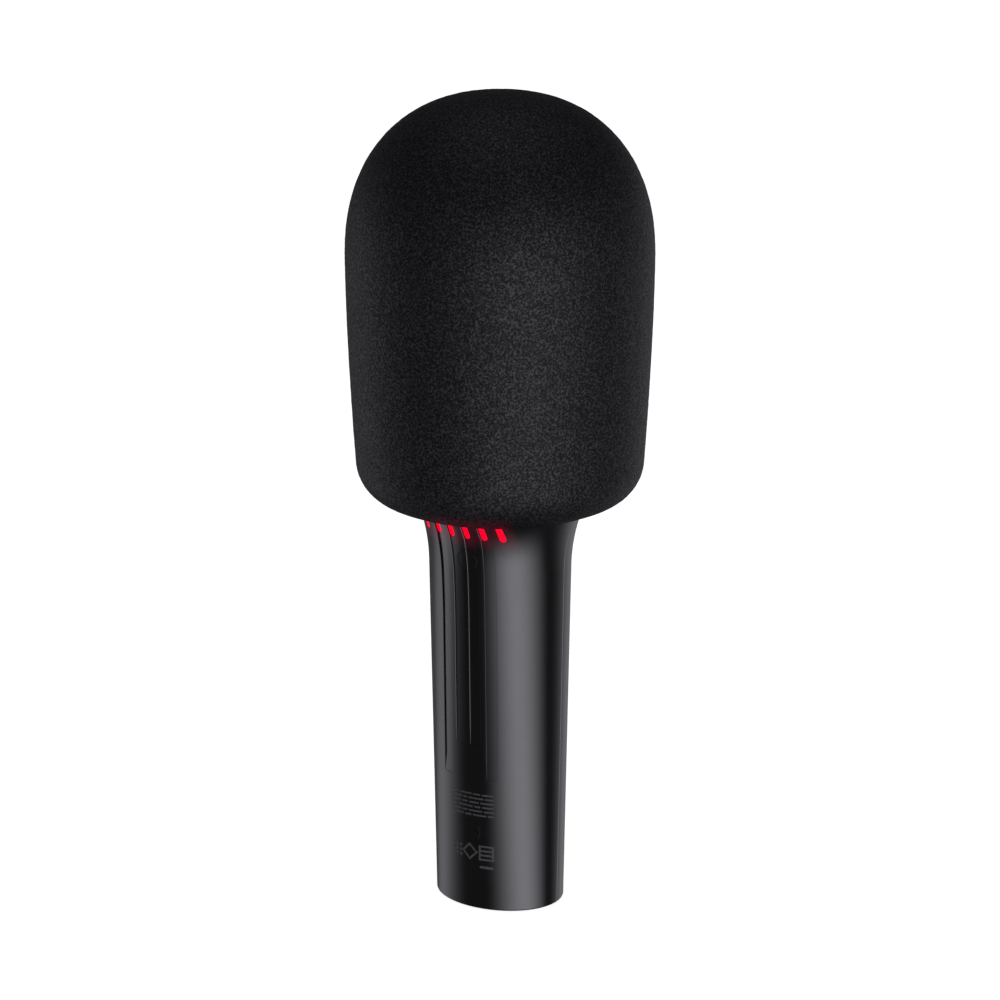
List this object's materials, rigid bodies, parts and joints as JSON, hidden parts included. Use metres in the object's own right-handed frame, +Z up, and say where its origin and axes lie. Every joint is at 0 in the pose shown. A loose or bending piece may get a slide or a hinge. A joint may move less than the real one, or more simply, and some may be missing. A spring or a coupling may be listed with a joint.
{
  "type": "karaoke microphone",
  "caption": "Cordless karaoke microphone with a large foam windscreen, a speaker in the head, an oval handle with push buttons and a row of red lights at the neck.",
  "frame": {"origin": "middle of the handle's flat base", "axes": "+Z runs up the handle towards the foam head, the push buttons face -Y and the lit slots face +Y, +X is to the right seen from the front"},
  "size_m": [0.092, 0.092, 0.25],
  "materials": {
    "foam": "matte",
    "gloss_black": "gloss",
    "satin_black": "satin",
    "button_plastic": "satin",
    "power_red": "gloss",
    "light_red": "gloss",
    "wire_mesh": "satin",
    "rubber": "matte",
    "capsule_metal": "satin",
    "basket_steel": "satin",
    "plate_steel": "satin",
    "ferrite": "matte",
    "copper": "satin",
    "cone_paper": "matte",
    "spider_cloth": "matte",
    "circuit_green": "satin",
    "chip_black": "satin",
    "led_resin": "satin",
    "cell_wrap": "satin",
    "pad_foam": "matte",
    "screw_steel": "satin",
    "socket_metal": "polished"
  },
  "bodies": {
    "handle": {"grille_cage": "satin_black", "grille_mesh": "wire_mesh", "mic_tower": "satin_black", "mic_holder": "rubber", "mic_capsule": "capsule_metal", "speaker_frame": "basket_steel", "speaker_top_plate": "plate_steel", "speaker_magnet": "ferrite", "speaker_yoke": "plate_steel", "speaker_spider": "spider_cloth", "speaker_surround": "rubber", "speaker_gasket": "pad_foam", "speaker_chamber": "satin_black", "head_base": "satin_black", "light_guide": "light_red", "led_board": "circuit_green", "slot_leds": "led_resin", "handle_rear_shell": "gloss_black", "handle_front_shell": "gloss_black", "control_panel": "satin_black", "switch_bodies": "plate_steel", "main_board": "circuit_green", "board_parts": "chip_black", "battery_cell": "cell_wrap", "battery_pads": "pad_foam", "battery_bracket": "satin_black", "bottom_cap": "gloss_black", "port_board": "circuit_green", "charging_port": "socket_metal", "charging_port_tongue": "chip_black", "aux_jack": "chip_black", "shell_screws": "screw_steel", "screw_plugs": "gloss_black", "cage_screws": "screw_steel", "chamber_screws": "screw_steel", "speaker_screws": "screw_steel", "board_screws": "screw_steel", "bracket_screws": "screw_steel"},
    "foam_cover": {"foam_windscreen": "foam"},
    "power_key": {"power_button": "power_red", "power_plunger": "chip_black"},
    "mode_key": {"mode_button": "button_plastic", "mode_plunger": "chip_black"},
    "volume_down_key": {"volume_down_button": "button_plastic", "volume_down_plunger": "chip_black"},
    "volume_up_key": {"volume_up_button": "button_plastic", "volume_up_plunger": "chip_black"},
    "echo_key": {"echo_button": "button_plastic", "echo_plunger": "chip_black"},
    "cone_assembly": {"speaker_cone": "cone_paper", "dust_cap": "cone_paper", "voice_coil": "copper"}
  },
  "joints": [
    {"name": "foam_pull", "type": "slide", "parent": "handle", "child": "foam_cover", "axis": [0, 0, 1], "range_m": [0, 0.12]},
    {"name": "power_press", "type": "slide", "parent": "handle", "child": "power_key", "axis": [0, 1, 0], "range_m": [0, 0.0004], "stiffness_N_per_m": 1500},
    {"name": "mode_press", "type": "slide", "parent": "handle", "child": "mode_key", "axis": [0, 1, 0], "range_m": [0, 0.0004], "stiffness_N_per_m": 1500},
    {"name": "volume_down_press", "type": "slide", "parent": "handle", "child": "volume_down_key", "axis": [0, 1, 0], "range_m": [0, 0.0004], "stiffness_N_per_m": 1500},
    {"name": "volume_up_press", "type": "slide", "parent": "handle", "child": "volume_up_key", "axis": [0, 1, 0], "range_m": [0, 0.0004], "stiffness_N_per_m": 1500},
    {"name": "echo_press", "type": "slide", "parent": "handle", "child": "echo_key", "axis": [0, 1, 0], "range_m": [0, 0.0004], "stiffness_N_per_m": 1500},
    {"name": "cone_travel", "type": "slide", "parent": "handle", "child": "cone_assembly", "axis": [0, 0, 1], "range_m": [-0.0015, 0.0015], "stiffness_N_per_m": 1200, "deforming": ["speaker_surround", "speaker_spider"]}
  ]
}
